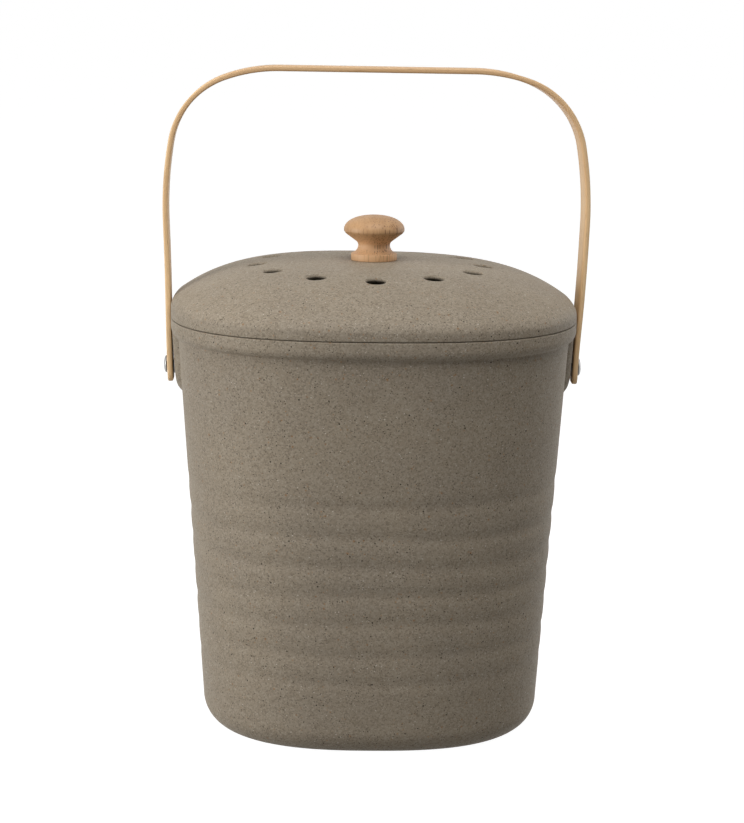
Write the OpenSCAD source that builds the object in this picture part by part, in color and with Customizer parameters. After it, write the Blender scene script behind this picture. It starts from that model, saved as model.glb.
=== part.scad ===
// Countertop compost caddy: a rounded-square bin with a lift-off vented lid,
// a turned wooden knob, a charcoal filter held by a twist-in cover, and a bent bamboo carry handle.
// Millimetres, +Z up, origin on the table at the centre of the bin, front towards -Y.

/* [Bin] */
// Width of the rim, across the flats of the rounded square
rim_width = 200; // [180:1:220]
// Height from the table to the top of the rim
rim_height = 204; // [180:1:230]
// Exponent of the rounded square: 2 is round, higher is squarer
squareness = 2.58; // [2.2:0.02:3.2]
// How far the rim band stands out from the wall under it
rim_overhang = 3.5; // [2:0.1:6]
// Width of the wall just above the rounded base
base_width = 167.8; // [150:0.2:176]
// Radius of the rounded edge round the base
base_round = 12.7; // [8:0.1:18]
// Thickness of the bin's wall
wall = 3; // [2.4:0.1:4]
// Thickness of the bin's floor
floor_thickness = 3.6; // [2.4:0.1:5]
// Radius of the corner between the inside wall and the floor
inside_round = 10; // [6:0.5:14]
// Height of the thickened band at the rim
rim_band = 9; // [7:0.5:14]
// Radius of the soft lower edge of the rim band
rim_round = 4.2; // [2.5:0.1:5]
// Radius of the rim's top edges
rim_edge = 0.9; // [0.4:0.1:1.2]
// Height of the recess under the base, inside the foot ring
foot_recess = 1.2; // [0.8:0.1:2]
// Width of the foot ring that the bin stands on
foot_width = 9; // [6:0.5:14]

/* [Throwing rings] */
// Number of shallow grooves round the wall
ring_count = 7; // [3:1:8]
// Height of the lowest groove
ring_start = 41.2; // [30:0.2:50]
// Distance from one groove to the next
ring_pitch = 14.5; // [12:0.5:16]
// Depth of a groove
ring_depth = 0.55; // [0.2:0.05:1]
// Half width of a groove
ring_reach = 4.6; // [3:0.2:5]

/* [Lid] */
// Gap between the rim and the lid's lip
lid_gap = 0.4; // [0.3:0.1:1]
// Height of the lid's upright side below its rounded shoulder
lid_side = 2.4; // [1:0.1:5]
// Radius of the lid's rounded shoulder
shoulder_round = 3.4; // [2:0.1:8]
// Rise of the dome from the shoulder to the flat seat of the knob
dome_rise = 19.8; // [10:0.1:26]
// Exponent of the dome: higher keeps the middle flatter
dome_power = 3.95; // [2.5:0.05:5]
// Thickness of the lid's shell
lid_wall = 3; // [2.4:0.1:4]
// Thickness of the skirt that drops inside the bin
skirt_wall = 2.4; // [1.8:0.1:3]
// Depth of the skirt below the lip
skirt_depth = 12; // [8:0.5:16]
// Gap between the skirt and the inside of the bin
skirt_gap = 0.9; // [0.5:0.1:1.5]
// Number of vent holes
vent_count = 12; // [8:1:16]
// Diameter of the circle that the vent holes lie on
vent_circle = 111.8; // [90:0.2:116]
// Diameter of a vent hole
vent_width = 8.6; // [5:0.1:10]
// Width of the chamfer round a vent hole
vent_chamfer = 0.7; // [0.3:0.1:1.2]

/* [Knob] */
// Height of the knob above the lid
knob_height = 22.3; // [18:0.1:28]
// Diameter of the knob's cap
knob_width = 30; // [24:0.5:36]
// Height of the cap's widest line above the lid
knob_cap_level = 15.3; // [13.5:0.1:17]
// Diameter of the knob's neck
neck_diameter = 15.8; // [13:0.1:18]
// Height of the neck above the lid
neck_level = 7.4; // [6.5:0.1:8.5]
// Diameter of the disc at the knob's foot
knob_foot_width = 22.8; // [18:0.2:26]
// Height of the disc at the knob's foot
knob_foot_height = 2.9; // [2:0.1:4]
// Diameter of the knob screw's shank
knob_screw_width = 3.5; // [3:0.1:5]
// Length of the knob screw inside the knob
knob_screw_grip = 13; // [8:0.5:15]
// Diameter of the washer under the knob screw's head
knob_washer_width = 12; // [9:0.5:16]
// Thickness of the washer under the knob screw's head
knob_washer_thickness = 1; // [0.6:0.1:1.6]

/* [Filter] */
// Diameter of the charcoal filter
filter_width = 133; // [120:0.5:138]
// Thickness of the charcoal filter
filter_thickness = 6; // [4:0.5:7]
// Gap between the filter's edge and its cover
filter_gap = 0.7; // [0.3:0.1:1]
// Wall thickness of the filter cover
cover_wall = 2; // [1.6:0.1:2.4]
// Thickness of the filter cover's grille
cover_floor = 1.8; // [1.4:0.1:2.6]
// Depth of the filter cover, from its rim to the underside of its grille
cover_depth = 7; // [6:0.1:8]
// Height of the filter cover's underside above the bin's rim
cover_level = 6.4; // [5:0.1:8]
// Number of slot rings in the grille
grille_rings = 4; // [3:1:5]
// Number of spokes that cross the slot rings
grille_spokes = 12; // [8:1:16]
// Width of a spoke and of the web between slot rings
grille_web = 3.2; // [2:0.1:4]
// Height of the finger bar under the filter cover
finger_bar_height = 6.4; // [4:0.2:8]
// Length of the finger bar under the filter cover
finger_bar_length = 42; // [30:1:60]
// Number of bayonet lugs
lug_count = 4; // [3:1:5]
// Angle that a bayonet lug spans
lug_angle = 20; // [12:1:24]
// Height of a bayonet lug and of its ledge
lug_height = 1.5; // [1.2:0.1:1.8]
// How far a lug and a ledge reach over each other
lug_reach = 1.2; // [0.8:0.1:1.6]
// Running gap round the bayonet
bayonet_gap = 0.4; // [0.3:0.05:0.6]
// Wall thickness of the collar under the lid that holds the bayonet
collar_wall = 2.4; // [1.8:0.1:3]

/* [Handle] */
// Thickness of the bamboo strip
strip_thickness = 2.6; // [2:0.1:3.4]
// Width of the bamboo strip, front to back
strip_width = 15; // [12:0.5:20]
// Height of the handle's top above the pivots
handle_rise = 147.9; // [130:0.5:180]
// Outward lean of the legs, in degrees
leg_lean = 2.2; // [1.5:0.1:3.5]
// Length of the strip below the pivots
leg_tail = 8.2; // [7:0.1:12]
// Radius of the strip's end corners
tail_round = 4.5; // [2:0.5:6]
// Outer radius of the easy bend at the top of the leg
leg_bend_radius = 190; // [150:5:230]
// Angle of the easy bend
leg_bend_angle = 12; // [8:0.5:16]
// Outer radius of the tight corner bend
corner_radius = 42; // [34:1:50]
// Angle of the tight corner bend
corner_angle = 60; // [50:1:66]
// Outer radius of the bend that runs into the top bar
crown_radius = 80; // [60:1:100]
// Gap between the leg and the rim band
rim_clearance = 0.35; // [0.3:0.05:1]

/* [Pivots] */
// Distance of the pivots below the top of the rim
pivot_drop = 27; // [24:0.5:36]
// Diameter of a pivot screw's shank
pin_width = 3.8; // [3:0.1:5]
// Radial play of the handle on the pivot screw
pin_play = 0.06; // [0.02:0.01:0.1]
// Side gap between the strip and the parts beside it
side_gap = 0.3; // [0.3:0.05:0.6]
// Diameter of a pivot screw's domed head
head_width = 8.6; // [7:0.1:11]
// Height of a pivot screw's domed head
head_height = 1.5; // [1:0.1:2.5]
// Diameter of the spacer between the ear and the strip
spacer_width = 9; // [8:0.1:10.4]
// Thickness of the spacer between the ear and the strip
spacer_thickness = 1.5; // [1:0.1:2]
// Radius of the ear round the pivot, where it meets the wall
ear_radius = 13.6; // [11:0.1:16]
// Radius of the ear's raised face
ear_face_radius = 8; // [6:0.1:9.5]
// Diameter of the washer inside the bin
inner_washer_width = 10; // [8:0.5:12]
// Thickness of the washer inside the bin
inner_washer_thickness = 1; // [0.6:0.1:1.6]
// Width across the flats of the cap nut
nut_width = 7; // [6:0.5:9]
// Height of the cap nut's hexagon
nut_height = 3.2; // [2.4:0.1:5]
// Height of the cap nut's dome
nut_dome = 2; // [1:0.1:3]

/* [Hidden] */

// Points round each ring of the bin and the lid
ring_points = 64;
// Facets of true circles
$fn = 72;
// Small overlap that fuses the features of one piece, and lets a cut pass its face
fuse = 0.2;

// Bin
rim_half = rim_width / 2;
rim_under = rim_height - rim_band;
neck_half = rim_half - rim_overhang;
base_half = base_width / 2;
foot_outer = base_half - base_round;
foot_inner = foot_outer - foot_width;
inside_floor = foot_recess + floor_thickness;
// Outward slope of the wall, as run over rise
taper = (neck_half - base_half) / (rim_under - base_round);
taper_angle = atan(taper);
function wall_half(z) = base_half + taper * (z - base_round);
function inside_half(z) = wall_half(z) - wall;

// Lid
lip_level = rim_height + lid_gap;
shoulder_level = lip_level + lid_side + shoulder_round;
seat_level = shoulder_level + dome_rise;
skirt_level = lip_level - skirt_depth;
underside_level = seat_level - lid_wall;
// Half width of the flats under the knob and over its washer
seat_half = max(knob_foot_width, knob_washer_width) / 2 + 0.6;
function dome_level(s) = shoulder_level + dome_rise * (1 - pow(s, dome_power));

// Filter, cover and collar
cover_inner = filter_width / 2 + filter_gap;
cover_outer = cover_inner + cover_wall;
ledge_inner = cover_outer + bayonet_gap;
lug_outer = cover_outer + lug_reach;
collar_inner = lug_outer + bayonet_gap;
collar_outer = collar_inner + collar_wall;
cover_bottom = rim_height + cover_level;
ledge_bottom = cover_bottom + cover_floor;
lug_bottom = ledge_bottom + lug_height + bayonet_gap;
ledge_angle = lug_angle + 4;
stop_angle = 1.4;

// Handle, measured at the outer face of the strip; headings are angles from vertical, positive inwards
pivot_level = rim_height - pivot_drop;
rim_full_level = rim_under + rim_round;
strip_skin = strip_thickness / cos(leg_lean);
strip_inner = rim_half + rim_clearance - (rim_full_level - pivot_level) * tan(leg_lean);
strip_outer = strip_inner + strip_skin;
crown_angle = 90 + leg_lean - leg_bend_angle - corner_angle;
bends = [
    [leg_bend_radius, leg_bend_angle],
    [corner_radius, corner_angle],
    [crown_radius, crown_angle]
];
headings = [
    -leg_lean,
    leg_bend_angle - leg_lean,
    leg_bend_angle + corner_angle - leg_lean,
    90
];
function bend_rise(i) = bends[i][0] * (sin(headings[i + 1]) - sin(headings[i]));
function bend_run(i) = bends[i][0] * (cos(headings[i]) - cos(headings[i + 1]));
leg_rise = handle_rise - bend_rise(0) - bend_rise(1) - bend_rise(2);
leg_top = [strip_outer + leg_rise * tan(leg_lean), leg_rise];
corner_start = [leg_top.x - bend_run(0), leg_top.y + bend_rise(0)];
crown_start = [corner_start.x - bend_run(1), corner_start.y + bend_rise(1)];
bend_starts = [leg_top, corner_start, crown_start];

// Pivots: distances along X from the middle of the bin
lean_play = tan(leg_lean) * spacer_width / 2;
head_seat = strip_outer + side_gap + lean_play;
spacer_outer = strip_inner - side_gap - lean_play;
ear_seat = spacer_outer - spacer_thickness;
ear_seat_radius = spacer_width / 2 + 0.7;
ear_face = ear_seat + ear_seat_radius * taper + 0.1;
ear_proud = ear_face - wall_half(pivot_level);
washer_seat_radius = inner_washer_width / 2 + 0.6;
washer_seat = inside_half(pivot_level) + washer_seat_radius * taper + 0.1;
nut_seat = washer_seat - inner_washer_thickness;
pin_end = nut_seat - nut_height;
pin_radius = pin_width / 2;

// A point of a rounded square with half width a
function corner_curve(v) = sign(v) * pow(abs(v), 2 / squareness);
function square_point(a, t, z) = [a * corner_curve(cos(t)), a * corner_curve(sin(t)), z];
function ring(a, z) = [for (i = [0 : ring_points - 1]) square_point(a, 360 * i / ring_points, z)];

function backwards(list) = [for (i = [len(list) - 1 : -1 : 0]) list[i]];

// Points of an arc about c, from angle a0 to a1
function arc(c, r, a0, a1, steps) = [
    for (i = [0 : steps])
        let (a = a0 + (a1 - a0) * i / steps)
        [c.x + r * cos(a), c.y + r * sin(a)]
];

// Groove depth at height z and angle t: the grooves wander and fade as they go round
function groove(z, t) = ring_depth * sum([
    for (k = [0 : ring_count - 1])
        let (middle = ring_start + k * ring_pitch + 0.8 * sin(t * (1 + k % 2) + 70 * k))
        let (d = abs(z - middle) / ring_reach)
        let (strength = 0.72 + 0.28 * sin(t + 115 * k))
        d < 1 ? strength * pow(cos(90 * d), 2) : 0
]);
function sum(v, i = 0) = i < len(v) ? v[i] + sum(v, i + 1) : 0;

function grooved_ring(z) = [
    for (i = [0 : ring_points - 1])
        let (t = 360 * i / ring_points)
        square_point(wall_half(z) - groove(z, t), t, z)
];

// Closed solid through rings of equal length, with a point at each end
module loft(rings, start, end) {
    n = len(rings[0]);
    last = len(rings) - 1;
    flat = [for (r = rings) each r];
    points = concat(flat, [start, end]);
    first_cap = [for (i = [0 : n - 1]) [len(flat), i, (i + 1) % n]];
    last_cap = [for (i = [0 : n - 1]) [len(flat) + 1, last * n + (i + 1) % n, last * n + i]];
    lower = [for (r = [0 : last - 1]) for (i = [0 : n - 1]) [r * n + i, (r + 1) * n + (i + 1) % n, r * n + (i + 1) % n]];
    upper = [for (r = [0 : last - 1]) for (i = [0 : n - 1]) [r * n + i, (r + 1) * n + i, (r + 1) * n + (i + 1) % n]];
    polyhedron(points = points, faces = concat(first_cap, lower, upper, last_cap), convexity = 6);
}

// Levels of the wall: five to each groove, and plain ones above and below
groove_levels = [
    for (k = [0 : ring_count - 1])
        for (j = [-2 : 2])
            ring_start + k * ring_pitch + j * ring_pitch / 5
];
wall_levels = concat(
    [base_round, (base_round + groove_levels[0]) / 2],
    groove_levels,
    [(groove_levels[len(groove_levels) - 1] + rim_under) / 2]
);

// Half width and height of the rings round the rim, from the neck to the inside edge
rim_fillet = 0.6;
rim_reach = rim_overhang - rim_fillet;
rim_profile = concat(
    arc([neck_half + rim_fillet, rim_under - rim_fillet], rim_fillet, 180, 90, 2),
    [for (a = [15 : 15 : 90]) [rim_half - rim_reach * (1 - sin(a)), rim_full_level - rim_round * cos(a)]],
    arc([rim_half - rim_edge, rim_height - rim_edge], rim_edge, 0, 90, 3),
    arc([inside_half(rim_height) + rim_edge, rim_height - rim_edge], rim_edge, 90, 180, 3)
);
base_profile = concat(
    [[foot_inner - foot_recess, foot_recess], [foot_inner, 0]],
    arc([foot_outer, base_round], base_round, -90, -10, 6)
);
inside_profile = concat(
    [[inside_half(rim_height / 2), rim_height / 2]],
    arc([inside_half(inside_floor + inside_round) - inside_round, inside_floor + inside_round], inside_round, 0, -90, 5)
);

module ear_outline(r, rise) {
    circle(r = r, $fn = 32);
    translate([-r, 0]) square([2 * r, rise]);
}

// One ear's raised boss, on the +X side, in line with the sloping wall
module ear_boss() {
    rise = (rim_full_level - pivot_level) / cos(taper_angle);
    steps = [[-wall / 2, 0], [0, 0], [0.55, 0.3], [0.85, 0.65], [1, 1]];
    translate([wall_half(pivot_level), 0, pivot_level])
        rotate([0, taper_angle, 0])
            rotate([90, 0, 90])
                hull()
                    for (s = steps)
                        translate([0, 0, s[0] < 0 ? s[0] : s[0] * ear_proud * cos(taper_angle) - 0.02])
                            linear_extrude(0.02)
                                ear_outline(ear_radius + (ear_face_radius - ear_radius) * s[1], rise);
}

// Flat seats for the spacer and the inner washer, and the hole for the pivot screw, on the +X side
module pivot_cuts() {
    translate([ear_seat, 0, pivot_level])
        rotate([0, 90, 0])
            cylinder(r = ear_seat_radius, h = 6);
    translate([washer_seat - 6, 0, pivot_level])
        rotate([0, 90, 0])
            cylinder(r = washer_seat_radius, h = 6);
    translate([washer_seat - 6, 0, pivot_level])
        rotate([0, 90, 0])
            cylinder(r = pin_radius + pin_play, h = ear_seat - washer_seat + 12);
}

module bin_body() {
    rings = concat(
        [for (p = base_profile) ring(p.x, p.y)],
        [for (z = wall_levels) grooved_ring(z)],
        [for (p = rim_profile) ring(p.x, p.y)],
        [for (p = inside_profile) ring(p.x, p.y)]
    );
    color("#8d8172")
        difference() {
            union() {
                loft(rings, [0, 0, foot_recess], [0, 0, inside_floor]);
                ear_boss();
                mirror([1, 0, 0]) ear_boss();
            }
            pivot_cuts();
            mirror([1, 0, 0]) pivot_cuts();
        }
}

// Half width and height of the rings of the lid, from the middle of the dome to the middle of its underside
dome_shares = [0.2, 0.32, 0.44, 0.56, 0.66, 0.75, 0.83, 0.9];
lip_wall = lid_wall;
skirt_top = inside_half(lip_level) - skirt_gap;
skirt_foot = inside_half(skirt_level) - skirt_gap;
groove_top = dome_level(1 - lid_wall / rim_half) - lid_wall;
shoulder_steps = 6;
function shoulder_drop(a) = shoulder_round - sqrt(pow(shoulder_round, 2) - pow(a - rim_half + shoulder_round, 2));
lid_top_profile = concat(
    [[seat_half, seat_level]],
    [for (s = dome_shares) [rim_half * s, dome_level(s)]],
    [for (i = [0 : shoulder_steps])
        let (a = rim_half - shoulder_round + shoulder_round * sin(90 * i / shoulder_steps))
        [a, dome_level(a / rim_half) - shoulder_drop(a)]]
);
lid_under_profile = [
    [rim_half - lip_wall, lip_level],
    [rim_half - lip_wall - 0.6, groove_top],
    [skirt_top + 0.4, groove_top],
    [skirt_top, lip_level],
    [skirt_foot, skirt_level + 0.8],
    [skirt_foot - 0.7, skirt_level],
    [skirt_foot - skirt_wall + 0.5, skirt_level],
    [skirt_foot - skirt_wall, skirt_level + 0.6],
    [skirt_top - skirt_wall - 0.4, groove_top]
];
lid_inside_profile = concat(
    [for (s = backwards(dome_shares)) [rim_half * s, dome_level(s) - lid_wall]],
    [[seat_half, underside_level]]
);

// Part of a ring of square section about Z, middle of its span at angle a
module ring_part(inner, outer, bottom, height, a, span) {
    rotate([0, 0, a - span / 2])
        rotate_extrude(angle = span)
            translate([inner, bottom])
                square([outer - inner, height]);
}

module lid_collar() {
    top = dome_level(collar_inner / rim_half) - lid_wall / 2;
    difference() {
        translate([0, 0, ledge_bottom]) cylinder(r = collar_outer, h = top - ledge_bottom);
        translate([0, 0, ledge_bottom - fuse]) cylinder(r = collar_inner, h = top - ledge_bottom + 2 * fuse);
    }
}

module lid_ledges() {
    for (k = [0 : lug_count - 1]) {
        a = 360 * k / lug_count;
        ring_part(ledge_inner, collar_inner + fuse, ledge_bottom, lug_height, a, ledge_angle);
        ring_part(
            ledge_inner, collar_inner + fuse, ledge_bottom, 2 * lug_height + bayonet_gap,
            a - ledge_angle / 2 + stop_angle / 2, stop_angle
        );
    }
}

module vent(a) {
    top = dome_level(vent_circle / rim_width);
    rotate([0, 0, a])
        translate([0, -vent_circle / 2, top]) {
            translate([0, 0, -lid_wall - 4]) cylinder(d = vent_width, h = lid_wall + 8);
            translate([0, 0, -vent_chamfer])
                cylinder(d1 = vent_width, d2 = vent_width + 4 * vent_chamfer, h = 2 * vent_chamfer);
        }
}

module lid() {
    profile = concat(lid_top_profile, lid_under_profile, lid_inside_profile);
    rings = [for (i = [len(profile) - 1 : -1 : 0]) ring(profile[i].x, profile[i].y)];
    color("#8d8172")
        difference() {
            union() {
                loft(rings, [0, 0, underside_level], [0, 0, seat_level]);
                lid_collar();
                lid_ledges();
            }
            for (k = [0 : vent_count - 1]) vent(360 * k / vent_count);
            translate([0, 0, underside_level - 4]) cylinder(d = knob_screw_width + 0.5, h = lid_wall + 8);
        }
}

// Turned profile of the knob, from the rim of its foot to the middle of its cap, about the lid's seat
knob_cone = 39;
knob_flare = 70;
knob_low_sweep = 4.4;
knob_high_sweep = 2.5;
knob_edge = 1.1;
knob_lip_level = knob_cap_level - 1.6;
knob_profile = concat(
    [[0, 0], [knob_foot_width / 2 - 0.4, 0], [knob_foot_width / 2, 0.4]],
    [[knob_foot_width / 2, knob_foot_height - 0.5], [knob_foot_width / 2 - 0.4, knob_foot_height]],
    arc([neck_diameter / 2 + knob_low_sweep, neck_level], knob_low_sweep, 180 + knob_flare, 180, 5),
    arc([neck_diameter / 2 + knob_high_sweep, neck_level], knob_high_sweep, 170, 90 + knob_cone, 3),
    [[knob_width / 2 - knob_edge, knob_lip_level - 0.2], [knob_width / 2 - 0.3, knob_lip_level + 0.4]],
    [for (a = [0 : 12 : 84]) [
        knob_width / 2 * pow(cos(a), 0.9),
        knob_cap_level + (knob_height - knob_cap_level) * sin(a)
    ]],
    [[0, knob_height]]
);

module knob() {
    color("#c19a6b")
        translate([0, 0, seat_level])
            difference() {
                rotate_extrude() polygon(knob_profile);
                translate([0, 0, -fuse]) cylinder(d = knob_screw_width + 0.1, h = knob_screw_grip + 0.6);
            }
}

module knob_screw() {
    head_top = underside_level - knob_washer_thickness;
    head_radius = knob_screw_width;
    head_rise = 2.4;
    color("#b9bcc0")
        translate([0, 0, head_top]) {
            difference() {
                rotate_extrude()
                    polygon(concat(
                        [[0, 0], [head_radius, 0]],
                        [for (a = [0 : 15 : 75]) [head_radius * cos(a), -0.8 - (head_rise - 0.8) * sin(a)]],
                        [[0, -head_rise]]
                    ));
                for (a = [0, 90])
                    rotate([0, 0, a])
                        translate([-head_radius * 0.55, -0.4, -head_rise - fuse])
                            cube([head_radius * 1.1, 0.8, 1.4]);
            }
            cylinder(d = knob_screw_width, h = knob_washer_thickness + lid_wall + knob_screw_grip);
        }
}

module flat_washer(outer, bore, thickness) {
    difference() {
        cylinder(d = outer, h = thickness);
        translate([0, 0, -fuse]) cylinder(d = bore, h = thickness + 2 * fuse);
    }
}

module knob_washer() {
    color("#b9bcc0")
        translate([0, 0, underside_level - knob_washer_thickness])
            flat_washer(knob_washer_width, knob_screw_width + 0.4, knob_washer_thickness);
}

// Grille: rings of slots, cut by spokes
module grille() {
    hub = finger_bar_length / 2 + 3;
    pitch = (cover_inner - grille_web - hub) / grille_rings;
    linear_extrude(cover_floor)
        difference() {
            circle(r = cover_outer);
            for (k = [0 : grille_rings - 1])
                difference() {
                    circle(r = hub + (k + 1) * pitch);
                    circle(r = hub + k * pitch + grille_web);
                    for (s = [0 : grille_spokes - 1])
                        rotate(360 * (s + 0.5) / grille_spokes)
                            translate([0, -grille_web / 2])
                                square([cover_outer, grille_web]);
                }
        }
}

module filter_cover() {
    color("#3b3a38")
        translate([0, 0, cover_bottom]) {
            grille();
            difference() {
                cylinder(r = cover_outer, h = cover_depth);
                translate([0, 0, -fuse]) cylinder(r = cover_inner, h = cover_depth + 2 * fuse);
            }
            for (k = [0 : lug_count - 1])
                ring_part(
                    cover_outer - fuse, lug_outer, lug_bottom - cover_bottom, lug_height,
                    360 * k / lug_count, lug_angle
                );
            translate([-finger_bar_length / 2, -1.3, -finger_bar_height])
                cube([finger_bar_length, 2.6, finger_bar_height + fuse]);
        }
}

module charcoal_filter() {
    color("#2c2c2c")
        translate([0, 0, cover_bottom + cover_floor])
            cylinder(d = filter_width, h = filter_thickness);
}

// Outer face of the strip, from the foot of the right leg to the middle of the top, as [x, z, heading]
bend_steps = [5, 16, 7];
strip_line = concat(
    [[strip_outer - leg_tail * tan(leg_lean), -leg_tail, -leg_lean]],
    [for (b = [0 : 2]) for (i = [0 : bend_steps[b] - 1])
        let (h = headings[b] + bends[b][1] * i / bend_steps[b])
        [
            bend_starts[b].x - bends[b][0] * (cos(headings[b]) - cos(h)),
            bend_starts[b].y + bends[b][0] * (sin(h) - sin(headings[b])),
            h
        ]],
    [[crown_start.x - bend_run(2), handle_rise, 90]]
);
// Moves a point of the strip's outer face into the strip, square to it
function strip_point(p, depth) = [p.x - depth * cos(p[2]), p.y - depth * sin(p[2])];
function strip_side(depth) = [for (p = strip_line) strip_point(p, depth)];
function flipped(points) = [for (p = backwards(points)) [-p.x, p.y]];

// Side view of the strip, which rounds the corners of its ends
module strip_side_view() {
    half = strip_width / 2;
    polygon(concat(
        [[half, handle_rise + 5], [-half, handle_rise + 5]],
        arc([-half + tail_round, -leg_tail + tail_round], tail_round, 180, 270, 6),
        arc([half - tail_round, -leg_tail + tail_round], tail_round, 270, 360, 6)
    ));
}

module carry_handle() {
    outer = strip_side(0);
    inner = strip_side(strip_thickness);
    band = concat(outer, flipped(outer), [for (p = inner) [-p.x, p.y]], backwards(inner));
    color("#c9a272")
        translate([0, 0, pivot_level])
            difference() {
                intersection() {
                    translate([0, strip_width / 2 + 1, 0])
                        rotate([90, 0, 0])
                            linear_extrude(strip_width + 2) polygon(band);
                    rotate([90, 0, 90])
                        linear_extrude(2 * rim_width, center = true) strip_side_view();
                }
                for (side = [-1, 1])
                    translate([side * strip_outer, 0, 0])
                        rotate([0, 90, 0])
                            cylinder(r = pin_radius + pin_play, h = 4 * strip_thickness, center = true);
            }
}

// Places a piece that is drawn along +Z at distance x on the pivot line, pointing away from the bin
module on_pivot(side, x) {
    translate([side * x, 0, pivot_level])
        rotate([0, side * 90, 0])
            children();
}

module pivot_screw(side) {
    color("#b9bcc0")
        on_pivot(side, head_seat) {
            rotate_extrude()
                polygon(concat(
                    [[0, 0], [head_width / 2, 0], [head_width / 2, 0.3]],
                    [for (a = [15 : 15 : 75]) [head_width / 2 * cos(a), 0.3 + (head_height - 0.3) * sin(a)]],
                    [[0, head_height]]
                ));
            translate([0, 0, pin_end - head_seat]) cylinder(d = pin_width, h = head_seat - pin_end);
        }
}

module spacer(side) {
    color("#6f6f6f")
        on_pivot(side, ear_seat)
            flat_washer(spacer_width, pin_width + 2 * pin_play, spacer_thickness);
}

module inner_washer(side) {
    color("#b9bcc0")
        on_pivot(side, nut_seat)
            flat_washer(inner_washer_width, pin_width + 2 * pin_play, inner_washer_thickness);
}

module cap_nut(side) {
    color("#b9bcc0")
        on_pivot(side, nut_seat)
            rotate([180, 0, 0])
                difference() {
                    union() {
                        cylinder(d = nut_width / cos(30), h = nut_height, $fn = 6);
                        translate([0, 0, nut_height])
                            rotate_extrude()
                                polygon(concat(
                                    [for (a = [0 : 15 : 75]) [nut_width / 2 * cos(a) - 0.2, nut_dome * sin(a)]],
                                    [[0, nut_dome]],
                                    [[0, -1], [nut_width / 2 - 0.2, -1]]
                                ));
                    }
                    translate([0, 0, -fuse]) cylinder(r = pin_radius + pin_play, h = nut_height + 2 * fuse);
                }
}

bin_body();
lid();
knob();
knob_screw();
knob_washer();
filter_cover();
charcoal_filter();
carry_handle();
pivot_screw(-1);  // left_pivot_screw
pivot_screw(1);  // right_pivot_screw
spacer(-1);  // left_spacer
spacer(1);  // right_spacer
inner_washer(-1);  // left_inner_washer
inner_washer(1);  // right_inner_washer
cap_nut(-1);  // left_cap_nut
cap_nut(1);  // right_cap_nut
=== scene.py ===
from math import atan2, cos, hypot, pi, radians, sin, sqrt, tan

import bpy
import numpy as np
from mathutils import Matrix, Vector


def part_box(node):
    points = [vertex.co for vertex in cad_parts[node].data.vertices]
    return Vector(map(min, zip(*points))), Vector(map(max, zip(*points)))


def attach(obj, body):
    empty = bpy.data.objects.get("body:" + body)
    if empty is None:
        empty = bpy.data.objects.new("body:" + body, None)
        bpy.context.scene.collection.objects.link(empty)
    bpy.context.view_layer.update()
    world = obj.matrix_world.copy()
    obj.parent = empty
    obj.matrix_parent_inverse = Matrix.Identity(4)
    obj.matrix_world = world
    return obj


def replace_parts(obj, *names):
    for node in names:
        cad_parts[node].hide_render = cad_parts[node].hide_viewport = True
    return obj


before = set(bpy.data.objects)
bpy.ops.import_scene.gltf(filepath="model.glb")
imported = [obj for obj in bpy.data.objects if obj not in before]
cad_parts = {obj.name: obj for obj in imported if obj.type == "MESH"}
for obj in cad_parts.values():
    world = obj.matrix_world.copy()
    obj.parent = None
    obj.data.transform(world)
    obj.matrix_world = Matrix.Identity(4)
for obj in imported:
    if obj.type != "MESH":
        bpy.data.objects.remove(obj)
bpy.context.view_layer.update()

# Sizes below are in millimetres, as in the part's own source. Meshes are made in metres.
MM = 0.001

# Bin
RIM_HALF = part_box("bin_body")[1].x / MM
RIM_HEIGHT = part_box("bin_body")[1].z / MM
SQUARENESS = 2.58
RIM_OVERHANG = 3.5
BASE_HALF = 83.9
BASE_ROUND = 12.7
WALL = 3.0
FLOOR_THICKNESS = 3.6
INSIDE_ROUND = 10.0
RIM_BAND = 9.0
RIM_ROUND = 4.2
RIM_EDGE = 0.6
RIM_FILLET = 1.1
FOOT_EDGE = 0.6
# The rim's top face lies a little lower than the solid's, close under the lid's lip
RIM_TOP_DROP = 0.65
FOOT_RECESS = 1.2
FOOT_WIDTH = 9.0
RIM_TOP = RIM_HEIGHT - RIM_TOP_DROP
RIM_UNDER = RIM_HEIGHT - RIM_BAND
RIM_FULL_LEVEL = RIM_UNDER + RIM_ROUND
NECK_HALF = RIM_HALF - RIM_OVERHANG
FOOT_OUTER = BASE_HALF - BASE_ROUND
FOOT_INNER = FOOT_OUTER - FOOT_WIDTH
INSIDE_FLOOR = FOOT_RECESS + FLOOR_THICKNESS
TAPER = (NECK_HALF - BASE_HALF) / (RIM_UNDER - BASE_ROUND)

# Throwing rings: height, depth, half width, and the angle in degrees at which each is strongest
RINGS = [
    (37.0, 0.35, 5.0, -100),
    (50.8, 0.40, 5.2, -60),
    (65.2, 0.44, 5.4, -110),
    (79.8, 0.48, 5.4, -70),
    (94.0, 0.50, 5.6, -95),
    (108.4, 0.54, 5.4, -80),
    (124.0, 0.46, 5.6, -60),
]

# How far the rings wander up and down, slowly and quickly, as they go round
RING_WANDER = (0.7, 0.35)

# Lid: its dome stands a little higher on the left, and its lip lies close on the rim
SEAT_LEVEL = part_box("knob")[0].z / MM
LIP_LEVEL = RIM_HEIGHT - 0.35
SHOULDER_ROUND = 2.8
DOME_RISE = 19.93
DOME_POWER = 3.9
DOME_TILT = 0.009
LID_WALL = 3.0
LIP_EDGE = 0.5
# Angle to which the shoulder turns down before the upright side takes over
SHOULDER_TURN = 87
SKIRT_WALL = 2.4
# Height of the groove between the lid's lip and its skirt
GROOVE_DEPTH = 5.2
SKIRT_GAP = 0.9
SKIRT_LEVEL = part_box("lid")[0].z / MM
VENT_COUNT = 12
VENT_CIRCLE = 55.9
VENT_RADIUS = 4.75
VENT_EDGE = 1.0
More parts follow.
